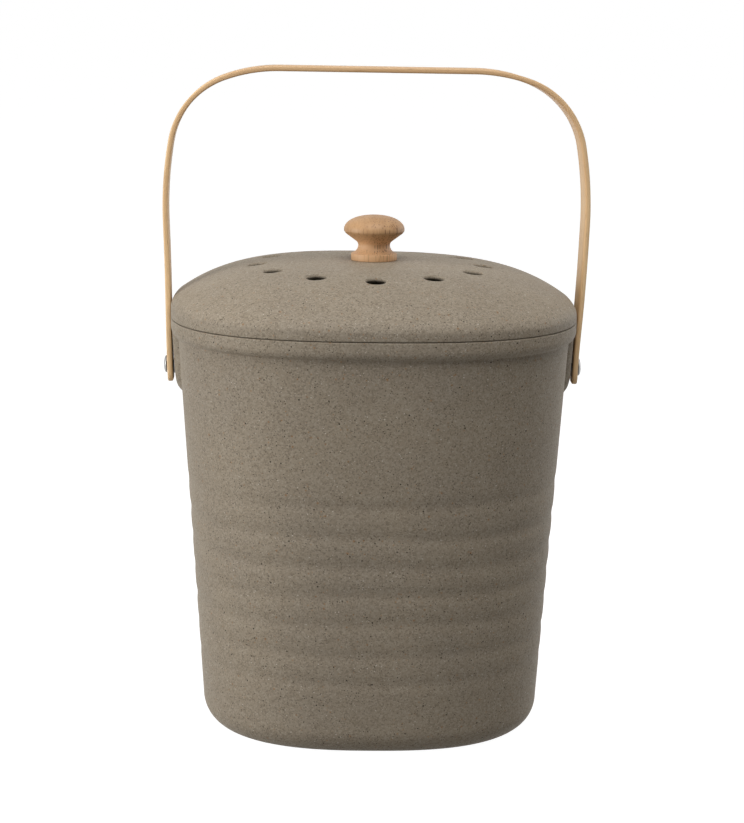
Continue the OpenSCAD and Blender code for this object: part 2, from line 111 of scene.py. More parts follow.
# Hand-finished: the ring of vents sits a little off the middle and is turned a little
VENT_MIDDLE = (-1.8, -4.6)
VENT_TURN = radians(1.8)
VENT_SKIRT = 1.5
# The collar under the lid, with its four ledges and stops
COLLAR_OUTER = 73.2
COLLAR_INNER = 70.8
LEDGE_INNER = 69.6
LEDGE_LEVEL = 212.2
LEDGE_HEIGHT = 1.5
LEDGE_ANGLE = 24.0
STOP_HEIGHT = 3.4
STOP_ANGLE = 1.4

# Pivots
PIVOT_LEVEL = RIM_HEIGHT - 27.0
EAR_RADIUS = 13.6
EAR_FACE_RADIUS = 8.0
EAR_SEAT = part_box("right_spacer")[0].x / MM
EAR_SEAT_RADIUS = 5.2
EAR_FACE = EAR_SEAT + EAR_SEAT_RADIUS * TAPER + 0.42
WASHER_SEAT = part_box("right_inner_washer")[1].x / MM
WASHER_SEAT_RADIUS = 5.6

# Camera, fitted to the outlines in the photograph: the aim point is on the bin's axis
IMAGE_SIZE = (744, 823)
CAMERA_AIM = Vector((0, 0, 0.1))
CAMERA_DISTANCE = 1.3
CAMERA_ELEVATION = radians(12.491)
CAMERA_YAW = radians(1.125)
CAMERA_ROLL = radians(0.65)
FOCAL_PIXELS = 2574.1
AIM_PIXEL = (371.0, 515.96)
SENSOR = 36.0


# Shape helpers

def wall_half(z):
    return BASE_HALF + TAPER * (z - BASE_ROUND)


def inside_half(z):
    return wall_half(z) - WALL


def square_radius(angles):
    """Distance from the middle to a rounded square of half width 1, at each angle."""
    n = SQUARENESS
    return (np.abs(np.cos(angles)) ** n + np.abs(np.sin(angles)) ** n) ** (-1 / n)


def square_size(x, y):
    """Half width of the rounded square on which each point lies."""
    n = SQUARENESS
    return (np.abs(x) ** n + np.abs(y) ** n) ** (1 / n)


def arc(centre, radius, start, end, steps):
    angles = np.radians(np.linspace(start, end, steps + 1))
    return [(centre[0] + radius * cos(a), centre[1] + radius * sin(a)) for a in angles]


def softened(points, radii, steps=4):
    """An open outline with its inner corners rounded to the given radii."""
    made = [points[0]]
    for before, corner, after, radius in zip(points, points[1:], points[2:], radii):
        a, b = Vector(before) - Vector(corner), Vector(after) - Vector(corner)
        angle = a.angle(b)
        reach = min(radius / tan(angle / 2), a.length / 2, b.length / 2)
        start = Vector(corner) + a.normalized() * reach
        end = Vector(corner) + b.normalized() * reach
        for t in np.linspace(0, 1, steps + 1):
            point = start * (1 - t) ** 2 + Vector(corner) * 2 * t * (1 - t) + end * t ** 2
            made.append(tuple(point))
    return made + [points[-1]]


def smooth(t):
    t = np.clip(t, 0, 1)
    return t * t * (3 - 2 * t)


def new_piece(name, points, faces, body, material):
    """Makes a smooth mesh from points in millimetres, and lets it ride on a body."""
    mesh = bpy.data.meshes.new(name)
    mesh.from_pydata((np.asarray(points, float) * MM).tolist(), [], faces)
    mesh.validate()
    mesh.polygons.foreach_set("use_smooth", [True] * len(mesh.polygons))
    mesh.update()
    piece = bpy.data.objects.new(name, mesh)
    bpy.context.scene.collection.objects.link(piece)
    mesh.materials.append(material)
    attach(piece, body)
    return piece


def ring_faces(first, second, count):
    """Quads between two closed rows of points that start at the given indices."""
    return [
        (first + i, first + (i + 1) % count, second + (i + 1) % count, second + i)
        for i in range(count)
    ]


def fan_faces(start, count, centre, outward):
    if outward:
        return [(start + i, start + (i + 1) % count, centre) for i in range(count)]
    return [(start + (i + 1) % count, start + i, centre) for i in range(count)]


def loft(rings, first_centre, last_centre):
    """Points and faces of a closed solid through rings that each run counter-clockwise from above."""
    count = len(rings[0])
    points = [p for ring in rings for p in ring]
    faces = fan_faces(0, count, len(points), False)
    for k in range(len(rings) - 1):
        faces += ring_faces(k * count, (k + 1) * count, count)
    faces += fan_faces((len(rings) - 1) * count, count, len(points) + 1, True)
    return points + [first_centre, last_centre], faces


def turned_rings(profile, axis_point, axis, steps):
    """Rings of points round an axis, from rows of (radius, distance along the axis)."""
    side = axis.orthogonal().normalized()
    other = axis.cross(side)
    rings = []
    for radius, height in profile:
        middle = axis_point + axis * height
        turns = [2 * pi * i / steps for i in range(steps)]
        rings.append([tuple(middle + (side * cos(a) + other * sin(a)) * radius) for a in turns])
    return rings


def lathe(profile, axis_point, axis, steps):
    """Points and faces of a turned solid. Its profile starts and ends on the axis."""
    point, axis = Vector(axis_point), Vector(axis).normalized()
    rings = turned_rings(profile[1:-1], point, axis, steps)
    first, last = (tuple(point + axis * height) for height in (profile[0][1], profile[-1][1]))
    return loft(rings, first, last)


def tube(profile, axis_point, axis, steps):
    """Points and faces of a turned ring. Its profile is a closed outline clear of the axis."""
    rings = turned_rings(profile, Vector(axis_point), Vector(axis).normalized(), steps)
    points = [p for ring in rings for p in ring]
    faces = []
    for k in range(len(rings)):
        faces += ring_faces(k * steps, (k + 1) % len(rings) * steps, steps)
    return points, faces


# Material helpers

class Nodes:
    """A short way to wire the nodes of a material or a world."""

    def __init__(self, tree):
        self.tree = tree

    def add(self, kind, inputs=None, **settings):
        node = self.tree.nodes.new(kind)
        for key, value in settings.items():
            setattr(node, key, value)
        for key, value in (inputs or {}).items():
            self.put(node.inputs[key], value)
        return node

    def put(self, socket, value):
        if isinstance(value, bpy.types.NodeSocket):
            self.tree.links.new(value, socket)
        else:
            socket.default_value = value

    def math(self, operation, a, b=0.0):
        return self.add("ShaderNodeMath", {0: a, 1: b}, operation=operation).outputs[0]

    def moved(self, vector, offset):
        return self.add("ShaderNodeVectorMath", {0: vector, 1: offset}).outputs[0]

    def scaled(self, vector, scale):
        return self.add("ShaderNodeVectorMath", {0: vector, 1: scale}, operation="MULTIPLY").outputs[0]

    def noise(self, vector, scale, detail=2.0, roughness=0.5):
        inputs = {"Vector": vector, "Scale": scale, "Detail": detail, "Roughness": roughness}
        return self.add("ShaderNodeTexNoise", inputs).outputs["Fac"]

    def cells(self, vector, scale, randomness=1.0):
        return self.add("ShaderNodeTexVoronoi", {"Vector": vector, "Scale": scale, "Randomness": randomness})

    def ramp(self, value, low, high, out_low=0.0, out_high=1.0):
        inputs = {"Value": value, "From Min": low, "From Max": high, "To Min": out_low, "To Max": out_high}
        return self.add("ShaderNodeMapRange", inputs, clamp=True).outputs[0]

    def mix(self, factor, a, b):
        node = self.add("ShaderNodeMix", data_type="RGBA")
        self.put(node.inputs[0], factor)
        self.put(node.inputs[6], a)
        self.put(node.inputs[7], b)
        return node.outputs[2]

    def channel(self, color, name):
        return self.add("ShaderNodeSeparateColor", {"Color": color}).outputs[name]

    def split(self, vector):
        return self.add("ShaderNodeSeparateXYZ", {0: vector}).outputs

    def bump(self, height, strength, distance, normal=None):
        inputs = {"Height": height, "Strength": strength, "Distance": distance}
        if normal:
            inputs["Normal"] = normal
        return self.add("ShaderNodeBump", inputs).outputs["Normal"]

    def object_point(self):
        return self.add("ShaderNodeTexCoord").outputs["Object"]


class Material(Nodes):
    """A new material with its shader."""

    def __init__(self, name):
        self.material = bpy.data.materials.new(name)
        self.material.use_nodes = True
        super().__init__(self.material.node_tree)
        self.shader = self.tree.nodes["Principled BSDF"]
        self.output = self.tree.nodes["Material Output"]


def srgb(r, g, b):
    """A colour written as it looks, from 0 to 255, as the linear colour that a shader takes."""
    def linear(v):
        v = v / 255
        return v / 12.92 if v <= 0.04045 else ((v + 0.055) / 1.055) ** 2.4
    return (linear(r), linear(g), linear(b), 1.0)


def composite():
    """Moulded bamboo-fibre composite: grey-brown, with fine grain and pale, dark and ochre flecks."""
    n = Material("fibre_composite")
    point = n.object_point()
    cloud = n.ramp(n.noise(point, 26.0, 3.0), 0.3, 0.7)
    color = n.mix(cloud, srgb(150, 139, 123), srgb(157, 145, 127))
    patch = n.ramp(n.noise(point, 130.0, 3.0, 0.6), 0.35, 0.7)
    color = n.mix(n.math("MULTIPLY", patch, 0.3), color, srgb(142, 128, 108))
    # Fine grain: cells a little under a millimetre wide, each with its own shade
    grain_cells = n.cells(point, 1500.0)
    shade = n.ramp(n.channel(grain_cells.outputs["Color"], "Red"), 0.0, 1.0)
    color = n.mix(n.ramp(shade, 0.0, 0.4, 0.42, 0.0), color, srgb(92, 80, 66))
    color = n.mix(n.ramp(shade, 0.62, 1.0, 0.0, 0.28), color, srgb(190, 180, 164))
    # Single flecks. Each row: width of a cell, share of the cells that hold a fleck, the widest fleck's
    # radius, its colour and its strength, with lengths in millimetres.
    for cell, share, radius, tint, strength in (
        (1.4, 0.11, 0.34, srgb(222, 214, 202), 0.75),
        (0.9, 0.20, 0.26, srgb(208, 199, 184), 0.65),
        (2.2, 0.20, 0.50, srgb(34, 25, 18), 0.95),
        (1.3, 0.34, 0.36, srgb(48, 37, 27), 0.88),
        (0.9, 0.34, 0.26, srgb(62, 50, 38), 0.8),
        (3.0, 0.18, 0.75, srgb(146, 102, 58), 0.55),
        (2.0, 0.16, 0.55, srgb(160, 118, 72), 0.5),
    ):
        # The row's own offset keeps its cells apart from the other rows' cells
        flecks = n.cells(n.moved(point, (cell, share, radius)), 1 / (cell * MM))
        kind = n.channel(flecks.outputs["Color"], "Green")
        widest = radius / cell
        size = n.ramp(n.channel(flecks.outputs["Color"], "Blue"), 0.0, 1.0, 0.45 * widest, widest)
        inside = n.ramp(n.math("DIVIDE", flecks.outputs["Distance"], size), 0.6, 1.0, strength, 0.0)
        color = n.mix(n.math("MULTIPLY", n.math("LESS_THAN", kind, share), inside), color, tint)
    n.put(n.shader.inputs["Base Color"], color)
    rough = n.ramp(n.noise(point, 700.0, 2.0), 0.2, 0.8, 0.5, 0.66)
    n.put(n.shader.inputs["Roughness"], rough)
    n.shader.inputs["Specular IOR Level"].default_value = 0.12
    fine = n.bump(n.noise(point, 1400.0, 3.0, 0.6), 0.12, 0.0002)
    n.put(n.shader.inputs["Normal"], n.bump(n.noise(point, 160.0, 2.0), 0.05, 0.0006, fine))
    return n.material


def knob_bamboo():
    """Turned bamboo: fibre ends show as dots on the cap, and as upright streaks on the sides."""
    n = Material("knob_bamboo")
    point = n.object_point()
    upright = n.scaled(point, (1.0, 1.0, 0.035))
    band = n.noise(n.scaled(point, (1.0, 0.25, 0.02)), 260.0, 2.0)
    color = n.mix(n.ramp(band, 0.35, 0.65), srgb(188, 148, 106), srgb(200, 160, 118))
    streak = n.ramp(n.noise(upright, 1500.0, 3.0, 0.65), 0.45, 0.75)
    color = n.mix(n.math("MULTIPLY", streak, 0.4), color, srgb(160, 108, 62))
    # Painted light: the turned neck and foot are coloured paler than the cap, to lift the shade that the cap
    # casts on them
    place = n.split(point)
    low = n.ramp(place["Z"], (SEAT_LEVEL + 9) * MM, (SEAT_LEVEL + 14) * MM, 0.6, 0.0)
    color = n.mix(low, color, srgb(236, 190, 144))
    # Fibre dots: dense and dark on the right half, faint on the left
    side = n.math("ADD", place["X"], n.math("MULTIPLY", n.noise(point, 90.0), 0.012))
    dense = n.ramp(side, -0.002, 0.012, 0.12, 1.0)
    dots = n.cells(upright, 900.0, 0.85)
    dot = n.ramp(dots.outputs["Distance"], 0.2, 0.38, 1.0, 0.0)
    color = n.mix(n.math("MULTIPLY", n.math("MULTIPLY", dot, dense), 0.7), color, srgb(104, 62, 32))
    fleck = n.ramp(n.noise(n.scaled(point, (1.0, 1.0, 0.25)), 700.0, 1.0), 0.66, 0.74)
    color = n.mix(n.math("MULTIPLY", fleck, 0.4), color, srgb(140, 90, 50))
    n.put(n.shader.inputs["Base Color"], color)
    n.put(n.shader.inputs["Roughness"], n.ramp(streak, 0.0, 1.0, 0.48, 0.6))
    n.shader.inputs["Specular IOR Level"].default_value = 0.4
    n.put(n.shader.inputs["Normal"], n.bump(n.math("SUBTRACT", streak, dot), 0.12, 0.0001))
    return n.material


# Distance along the strip to the middle of its bar, in millimetres
STRIP_MIDDLE = 231.0


def strip_bamboo():
    """Bent bamboo strip: long grain that follows the strip, read from the mesh's own length and width."""
    n = Material("strip_bamboo")
    along = n.add("ShaderNodeAttribute", attribute_name="grain").outputs["Vector"]
    band = n.noise(n.scaled(along, (9.0, 160.0, 420.0)), 1.0, 2.0)
    color = n.mix(n.ramp(band, 0.35, 0.65), srgb(232, 192, 142), srgb(246, 212, 164))
    # The bar is a shade darker than the legs
    away = n.math("ABSOLUTE", n.math("SUBTRACT", n.split(along)["X"], STRIP_MIDDLE * MM))
    color = n.mix(n.ramp(away, 0.07, 0.14, 0.55, 0.0), color, srgb(186, 142, 98))
    fibre = n.noise(n.scaled(along, (40.0, 1500.0, 2600.0)), 1.0, 3.0, 0.6)
    color = n.mix(n.math("MULTIPLY", n.ramp(fibre, 0.5, 0.78), 0.5), color, srgb(182, 136, 90))
    dash = n.noise(n.scaled(along, (150.0, 2400.0, 2400.0)), 1.0, 1.0)
    color = n.mix(n.math("MULTIPLY", n.ramp(dash, 0.66, 0.76), 0.55), color, srgb(140, 96, 56))
    n.put(n.shader.inputs["Base Color"], color)
    n.put(n.shader.inputs["Roughness"], n.ramp(fibre, 0.2, 0.8, 0.42, 0.58))
    n.shader.inputs["Specular IOR Level"].default_value = 0.45
    n.put(n.shader.inputs["Normal"], n.bump(fibre, 0.15, 0.0001))
    return n.material


def steel():
    """Plated steel with a satin face."""
    n = Material("satin_steel")
    point = n.object_point()
    wear = n.noise(point, 900.0, 3.0, 0.6)
    n.put(n.shader.inputs["Base Color"], n.mix(wear, srgb(138, 138, 138), srgb(160, 160, 159)))
    n.shader.inputs["Metallic"].default_value = 1.0
    n.put(n.shader.inputs["Roughness"], n.ramp(wear, 0.2, 0.8, 0.24, 0.4))
    n.put(n.shader.inputs["Normal"], n.bump(n.noise(point, 2500.0, 2.0), 0.06, 0.00005))
    return n.material


def dark_plastic():
    """Dark moulded plastic with a fine spark-eroded grain."""
    n = Material("dark_plastic")
    point = n.object_point()
    cloud = n.noise(point, 60.0, 3.0)
    n.put(n.shader.inputs["Base Color"], n.mix(cloud, srgb(44, 42, 40), srgb(54, 52, 49)))
    grain = n.noise(point, 2600.0, 3.0, 0.6)
    n.put(n.shader.inputs["Roughness"], n.ramp(grain, 0.2, 0.8, 0.45, 0.62))
    n.put(n.shader.inputs["Normal"], n.bump(grain, 0.12, 0.00008))
    return n.material


def felt():
    """Needled charcoal felt: matted short fibres."""
    n = Material("charcoal_felt")
    point = n.object_point()
    fibre = n.noise(n.scaled(point, (1.0, 1.0, 2.0)), 1300.0, 5.0, 0.75)
    color = n.mix(n.ramp(fibre, 0.35, 0.7), srgb(24, 24, 25), srgb(66, 66, 67))
    granule = n.cells(point, 700.0)
    shine = n.math("LESS_THAN", granule.outputs["Distance"], 0.18)
    color = n.mix(n.math("MULTIPLY", shine, 0.5), color, srgb(10, 10, 11))
    n.put(n.shader.inputs["Base Color"], color)
    n.shader.inputs["Roughness"].default_value = 0.95
    n.shader.inputs["Sheen Weight"].default_value = 0.3
    n.put(n.shader.inputs["Normal"], n.bump(fibre, 0.6, 0.0006))
    return n.material


COMPOSITE = composite()
KNOB_BAMBOO = knob_bamboo()
STRIP_BAMBOO = strip_bamboo()
STEEL = steel()
DARK_PLASTIC = dark_plastic()
FELT = felt()


# Bin

def bin_angles():
    """Angles round the bin, close together across the two ears."""
    ear = radians(9.5)
    fine = np.linspace(-ear, ear, 60)
    coarse = np.linspace(ear, pi - ear, 102)[1:-1]
    return np.concatenate([fine, coarse, fine + pi, coarse + pi])


def ring_depth(z, angles):
    """Depth of the throwing rings: they wander up and down, and fade as they go round."""
    depth = np.zeros_like(angles)
    for k, (level, deep, reach, peak) in enumerate(RINGS):
        slow, quick = RING_WANDER
        wander = slow * np.sin(angles * (1 + k % 2) + radians(70 * k)) + quick * np.sin(angles * 5 + k)
        strength = 0.68 + 0.32 * np.cos(angles - radians(peak)) + 0.12 * np.sin(angles * 3 + 2 * k)
        share = np.clip(np.abs(z - level - wander) / reach, 0, 1)
        depth += deep * strength * np.cos(share * pi / 2) ** 2
    return depth


def ear_height(y, z):
    """Share of the ear's full height, at a point beside or below the pivot, or under the rim."""
    away = np.hypot(y, np.minimum(z - PIVOT_LEVEL, 0))
    share = np.clip((EAR_RADIUS - away) / (EAR_RADIUS - EAR_FACE_RADIUS), 0, 1)
    return np.sin(pi / 2 * share ** 0.8)


def outer_profile():
    """Half width and height of the bin's outside, from the middle of its foot to the rim's inner edge."""
    levels = np.concatenate([
        np.arange(BASE_ROUND + 1.5, PIVOT_LEVEL - EAR_RADIUS - 1, 1.5),
        np.arange(PIVOT_LEVEL - EAR_RADIUS - 1, RIM_UNDER - RIM_FILLET, 0.5),
    ])
    reach = RIM_OVERHANG - RIM_FILLET
    recess = FOOT_INNER - FOOT_RECESS
    under = [(a, FOOT_RECESS) for a in np.linspace(8, recess - 1, 5)]
    foot = softened(
        [(recess - 1, FOOT_RECESS), (recess, FOOT_RECESS), (FOOT_INNER, 0), (FOOT_OUTER, 0)],
        [FOOT_EDGE, FOOT_EDGE],
    )[1:]
    base = arc((FOOT_OUTER, BASE_ROUND), BASE_ROUND, -90, -np.degrees(np.arctan(TAPER)), 22)[1:]
    wall = [(wall_half(z), z) for z in levels]
    fillet = arc((wall_half(RIM_UNDER) + RIM_FILLET, RIM_UNDER - RIM_FILLET), RIM_FILLET, 180, 90, 5)
    band = [
        (RIM_HALF - reach * (1 - sin(a)), RIM_FULL_LEVEL - RIM_ROUND * cos(a))
        for a in np.radians(np.linspace(6, 90, 15))
    ]
    side = [(RIM_HALF, z) for z in np.arange(RIM_FULL_LEVEL + 0.6, RIM_TOP - RIM_EDGE, 0.6)]
    top = arc((RIM_HALF - RIM_EDGE, RIM_TOP - RIM_EDGE), RIM_EDGE, 0, 90, 5)
    return under + foot + base + wall + fillet + band + side + top


def inner_profile():
    """Half width and height of the bin's inside, from the rim's inner edge to the middle of its floor."""
    edge = arc((inside_half(RIM_TOP) + RIM_EDGE, RIM_TOP - RIM_EDGE), RIM_EDGE, 90, 180, 5)
    levels = np.concatenate([
        np.arange(RIM_HEIGHT - 3, PIVOT_LEVEL + 8, -2.0),
        np.arange(PIVOT_LEVEL + 8, PIVOT_LEVEL - 8, -0.5),
        np.arange(PIVOT_LEVEL - 8, INSIDE_FLOOR + INSIDE_ROUND + 2, -4.0),
    ])
    wall = [(inside_half(z), z) for z in levels]
    low = INSIDE_FLOOR + INSIDE_ROUND
    corner = arc((inside_half(low) - INSIDE_ROUND, low), INSIDE_ROUND, 0, -90, 14)
    floor = [(a, INSIDE_FLOOR) for a in np.linspace(inside_half(low) - INSIDE_ROUND - 6, 6, 8)]
    return edge + wall + corner + floor


def make_bin():
    angles = bin_angles()
    unit = square_radius(angles)
    rings = []
    ear_proud = EAR_FACE - wall_half(PIVOT_LEVEL)
    for a, z in outer_profile():
        radius = unit * (a - (ring_depth(z, angles) if BASE_ROUND < z < RIM_UNDER - RIM_FILLET else 0))
        x, y = radius * np.cos(angles), radius * np.sin(angles)
        if PIVOT_LEVEL - EAR_RADIUS - 1 < z < RIM_FULL_LEVEL:
            height = ear_height(y, z)
            ear = np.where(height > 0, wall_half(z) + ear_proud * height, 0)
            ear = np.where(np.hypot(y, z - PIVOT_LEVEL) < EAR_SEAT_RADIUS, EAR_SEAT, ear)
            x = np.sign(x) * np.where(np.abs(y) < EAR_RADIUS, np.maximum(np.abs(x), ear), np.abs(x))
        rings.append(np.stack([x, y, np.full_like(x, z)], 1).tolist())
    for a, z in inner_profile():
        x, y = unit * a * np.cos(angles), unit * a * np.sin(angles)
        seat = (np.hypot(y, z - PIVOT_LEVEL) < WASHER_SEAT_RADIUS) & (np.abs(x) > RIM_HALF / 2)
        x = np.where(seat, np.sign(x) * WASHER_SEAT, x)
        rings.append(np.stack([x, y, np.full_like(x, z)], 1).tolist())
    points, faces = loft(rings, (0, 0, FOOT_RECESS), (0, 0, INSIDE_FLOOR))
    piece = new_piece("bin_moulding", points, faces, "bin", COMPOSITE)
    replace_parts(piece, "bin_body")


make_bin()


# Lid

def lid_top(x, y):
    """Height of the lid's top: a dome with a tight round at its edge, flat under the knob."""
    size = square_size(x, y)
    level = SEAT_LEVEL - DOME_RISE * np.clip(size / RIM_HALF, 0, 1) ** DOME_POWER
    level = level - DOME_TILT * x * smooth((size - 12) / 25)
    past = np.clip(size - (RIM_HALF - SHOULDER_ROUND), 0, SHOULDER_ROUND)
    return level - (SHOULDER_ROUND - np.sqrt(SHOULDER_ROUND ** 2 - past ** 2))


# Each vent lies in a cell of the lid's skin, between two circles and two spokes
ARC_POINTS = 16
SIDE_POINTS = 8
CELL_INNER = 46.5
CELL_OUTER = 68.0
CROWN_RINGS = [3, 8, 12, 17, 23, 29, 35, 40, 43.5, CELL_INNER]
# Past the cells the rings turn from circles to rounded squares
SQUARING = [(CELL_OUTER + 1.2 * k, 0.2 * k) for k in range(1, 6)]
SQUARED = 75.5


def lid_angles():
    """Angles round the lid, in step with the cells that hold the vents."""
    start = -90 + 180 / VENT_COUNT
    return np.radians(start + np.arange(VENT_COUNT * ARC_POINTS) * 360 / (VENT_COUNT * ARC_POINTS))


def cell_outline(middle):
    """Plan points round a vent's cell, counter-clockwise, from its inner right corner."""
    half = pi / VENT_COUNT
    steps = np.linspace(0, 1, ARC_POINTS + 1)[:-1]
    sides = np.linspace(0, 1, SIDE_POINTS + 1)[:-1]
    polar = [(CELL_OUTER, middle - half + 2 * half * t) for t in steps]
    polar += [(CELL_OUTER + (CELL_INNER - CELL_OUTER) * t, middle + half) for t in sides]
    polar += [(CELL_INNER, middle + half - 2 * half * t) for t in steps]
    polar += [(CELL_INNER + (CELL_OUTER - CELL_INNER) * t, middle - half) for t in sides]
    return np.array([(r * cos(a), r * sin(a)) for r, a in polar])


def vent_rows(middle, top):
    """Rows of points from a cell's outline in to its vent's edge, on the lid's top or its underside."""
    outline = cell_outline(middle)
    turned = middle + VENT_TURN
    centre = np.array(VENT_MIDDLE) + VENT_CIRCLE * np.array([cos(turned), sin(turned)])
    rays = outline - centre
    directions = rays / np.linalg.norm(rays, axis=1)[:, None]
    rows = []
    outer = VENT_RADIUS + (VENT_EDGE + 0.3 if top else VENT_SKIRT)
    for t in (1.0, 0.7, 0.45, 0.22, 0.0):
        rows.append(centre + directions * outer * (1 - t) + rays * t)
    edge = np.radians([15, 35, 55, 75, 90])
    if top:
        reaches = [VENT_RADIUS + VENT_EDGE * (1 - sin(a)) for a in edge]
        drops = [VENT_EDGE * (1 - cos(a)) for a in edge]
    else:
        # The underside flares towards each vent, as moulded vents do
        reaches = [VENT_RADIUS + VENT_SKIRT - 0.3, VENT_RADIUS + 0.2, VENT_RADIUS]
        drops = [0.1, 1.3, 1.5]
    made = []
    for plan in rows:
        z = lid_top(plan[:, 0], plan[:, 1]) - (0 if top else LID_WALL)
        made.append(np.column_stack([plan, z]))
    for reach, drop in zip(reaches, drops):
        plan = centre + directions * reach
        z = lid_top(plan[:, 0], plan[:, 1]) - (drop if top else LID_WALL - drop)
        made.append(np.column_stack([plan, z]))
    return made


class LidMesh:
    """Gathers the lid's points and faces."""

    def __init__(self):
        self.points, self.faces = [], []
        self.angles = lid_angles()
        self.unit = square_radius(self.angles)
        self.count = len(self.angles)

    def add(self, rows):
        start = len(self.points)
        self.points.extend(tuple(float(v) for v in row) for row in rows)
        return start

    def skin_ring(self, size, share, top):
        """A ring on the top or the underside: a circle where share is 0, a rounded square where it is 1."""
        radius = size * (1 - share + share * self.unit)
        x, y = radius * np.cos(self.angles), radius * np.sin(self.angles)
        return self.add(np.column_stack([x, y, lid_top(x, y) - (0 if top else LID_WALL)]))

    def profile_ring(self, size, z):
        x, y = size * self.unit * np.cos(self.angles), size * self.unit * np.sin(self.angles)
        return self.add(np.column_stack([x, y, np.full(self.count, z)]))

    def band(self, first, second, outward):
        """Quads between two rings."""
        made = ring_faces(first, second, self.count)
        self.faces += [f[::-1] for f in made] if outward else made

    def strip(self, first, second, outward):
        """Quads between two closed lists of points."""
        for i in range(len(first)):
            j = (i + 1) % len(first)
            face = (first[i], first[j], second[j], second[i])
            self.faces.append(face if outward else face[::-1])

    def crown(self, top):
        """The middle of a skin, out to the vents' cells. Returns its last ring."""
        middle = self.add([(0, 0, SEAT_LEVEL - (0 if top else LID_WALL))])
        rings = [self.skin_ring(size, 0, top) for size in CROWN_RINGS]
        fan = fan_faces(rings[0], self.count, middle, True)
        self.faces += fan if top else [f[::-1] for f in fan]
        for a, b in zip(rings, rings[1:]):
            self.band(a, b, top)
        return rings[-1]

    def cell_edge(self, k, row, inner_ring, outer_ring, seams):
        """The points round cell k. Neighbouring cells share those on the seam between them."""
        def seam(cell, step, index):
            key = (cell % VENT_COUNT, step)
            if key not in seams:
                seams[key] = self.add([row[index]])
            return seams[key]

        first, turn = k * ARC_POINTS, (k + 1) * ARC_POINTS
        edge = [outer_ring + (first + i) % self.count for i in range(ARC_POINTS + 1)]
        edge += [seam(k + 1, i, ARC_POINTS + i) for i in range(1, SIDE_POINTS)]
        edge += [inner_ring + (turn - i) % self.count for i in range(ARC_POINTS + 1)]
        edge += [seam(k, SIDE_POINTS - i, 2 * ARC_POINTS + SIDE_POINTS + i) for i in range(1, SIDE_POINTS)]
        return edge

    def vent_cells(self, top, inner_ring, outer_ring):
        """The cells of a skin. Returns the edge of each vent's bore."""
        seams, bores = {}, []
        for k in range(VENT_COUNT):
            rows = vent_rows(radians(-90 + 360 / VENT_COUNT * (k + 1)), top)
            previous = self.cell_edge(k, rows[0], inner_ring, outer_ring, seams)
            for row in rows[1:]:
                start = self.add(row)
                current = list(range(start, start + len(row)))
                self.strip(previous, current, top)
                previous = current
            bores.append(previous)
        return bores


def lid_under_outline():
    """Half width and height, from the lid's upright side through the groove and round the skirt."""
    skirt_top = inside_half(LIP_LEVEL) - SKIRT_GAP
    skirt_foot = inside_half(SKIRT_LEVEL) - SKIRT_GAP
    groove_top = LIP_LEVEL + GROOVE_DEPTH
    lip_inner = RIM_HALF - LID_WALL
    skirt_inner = skirt_top - SKIRT_WALL
    corners = [
        (RIM_HALF, LIP_LEVEL + 1.6), (RIM_HALF, LIP_LEVEL), (lip_inner, LIP_LEVEL),
        (lip_inner - 0.6, groove_top), (skirt_top + 0.4, groove_top), (skirt_top, LIP_LEVEL),
        (skirt_foot, SKIRT_LEVEL), (skirt_foot - SKIRT_WALL, SKIRT_LEVEL),
        (skirt_inner - 0.4, groove_top - 1.5), (skirt_inner - 0.5, groove_top),
    ]
    return softened(corners, [LIP_EDGE, 0.5, 0.8, 0.8, 2.0, 0.8, 0.8, 2.0])


def make_lid():
    mesh = LidMesh()
    edges, bores = {}, {}
    for top in (True, False):
        crown_edge = mesh.crown(top)
        edges[top] = mesh.skin_ring(CELL_OUTER, 0, top)
        bores[top] = mesh.vent_cells(top, crown_edge, edges[top])
    for upper, lower in zip(bores[True], bores[False]):
        mesh.strip(upper, lower, True)
    # From the top skin over the shoulder, the lip and the skirt, back to the inner skin
    under = lid_under_outline()
    shoulder_start = RIM_HALF - SHOULDER_ROUND
    turns = np.radians(np.linspace(0, SHOULDER_TURN, 16))
    over = SQUARING + [(size, 1) for size in np.arange(SQUARED, shoulder_start - 0.5, 1.8)]
    over += [(shoulder_start + SHOULDER_ROUND * sin(a), 1) for a in turns]
    back = [(size, 1) for size in np.arange(under[-1][0] - 2.0, SQUARED, -2.0)] + SQUARING[::-1]
    rings = [edges[True]]
    rings += [mesh.skin_ring(size, share, True) for size, share in over]
    rings += [mesh.profile_ring(size, z) for size, z in under]
    rings += [mesh.skin_ring(size, share, False) for size, share in back]
    rings.append(edges[False])
    for a, b in zip(rings, rings[1:]):
        mesh.band(a, b, True)
    piece = new_piece("lid_moulding", mesh.points, mesh.faces, "lid", COMPOSITE)
    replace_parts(piece, "lid")


